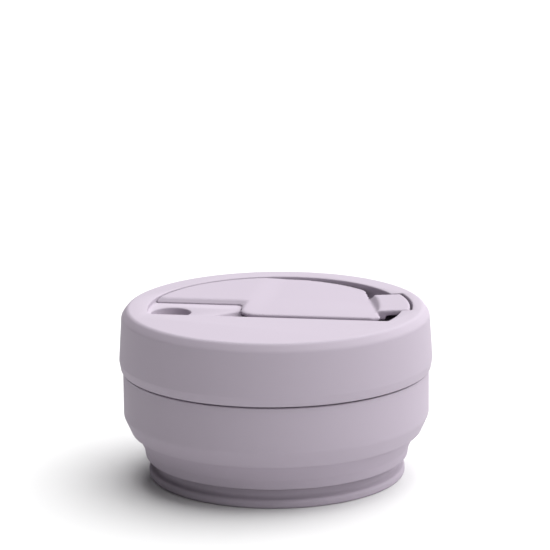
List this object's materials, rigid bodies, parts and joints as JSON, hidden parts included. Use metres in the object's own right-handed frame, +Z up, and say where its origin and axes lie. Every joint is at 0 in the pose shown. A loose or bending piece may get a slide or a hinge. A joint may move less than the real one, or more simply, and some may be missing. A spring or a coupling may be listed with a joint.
{
  "type": "collapsible travel cup",
  "caption": "Collapsible silicone travel cup stored flat: nested folding tiers, rim collar, sleeve, and a lid with a hinged silicone stopper over the sip hole.",
  "frame": {"origin": "centre of the foot's underside, on the surface the cup stands on", "axes": "+Z up along the cup's axis, out of the mouth; +X towards the lid's finger tab; -Y towards the lid's straight front edge"},
  "size_m": [0.0952, 0.0952, 0.052],
  "materials": {
    "cup_silicone": "matte, smooth",
    "stopper_silicone": "matte, smooth",
    "seal_silicone": "matte",
    "lid_plastic": "fine matte texture",
    "sleeve_plastic": "fine matte texture",
    "collar_plastic": "matte"
  },
  "bodies": {
    "base": {"foot_base": "cup_silicone"},
    "lower": {"lower_tier": "cup_silicone", "fold_web_lower": "cup_silicone"},
    "middle": {"middle_tier": "cup_silicone", "fold_web_middle": "cup_silicone"},
    "upper": {"upper_tier": "cup_silicone", "fold_web_upper": "cup_silicone", "rim_collar": "collar_plastic"},
    "sleeve_body": {"sleeve": "sleeve_plastic"},
    "lid": {"lid_shell": "lid_plastic", "lid_seal": "seal_silicone", "stopper_anchor": "stopper_silicone", "anchor_buttons": "stopper_silicone", "stopper_hinge": "stopper_silicone"},
    "flap": {"stopper_flap": "stopper_silicone", "sip_plug": "stopper_silicone"}
  },
  "joints": [
    {"name": "fold_lower", "type": "slide", "parent": "base", "child": "lower", "axis": [0, 0, 1], "range_m": [0, 0.025], "deforming": ["fold_web_lower"]},
    {"name": "fold_middle", "type": "slide", "parent": "lower", "child": "middle", "axis": [0, 0, 1], "range_m": [0, 0.025], "deforming": ["fold_web_middle"]},
    {"name": "fold_upper", "type": "slide", "parent": "middle", "child": "upper", "axis": [0, 0, 1], "range_m": [0, 0.025], "deforming": ["fold_web_upper"]},
    {"name": "sleeve_slip", "type": "slide", "parent": "upper", "child": "sleeve_body", "axis": [0, 0, 1], "range_m": [-0.012, 0]},
    {"name": "lid_lift", "type": "slide", "parent": "upper", "child": "lid", "axis": [0, 0, 1], "range_m": [0, 0.035]},
    {"name": "flap_hinge", "type": "hinge", "parent": "lid", "child": "flap", "pos_m": [-0.0105, 0.02, 0.0519], "axis": [0, -1, 0], "range_deg": [0, 160], "deforming": ["stopper_hinge"]}
  ],
  "couplings": [
    {"joint": "fold_lower", "follows": "fold_upper", "ratio": 1},
    {"joint": "fold_middle", "follows": "fold_upper", "ratio": 1}
  ]
}
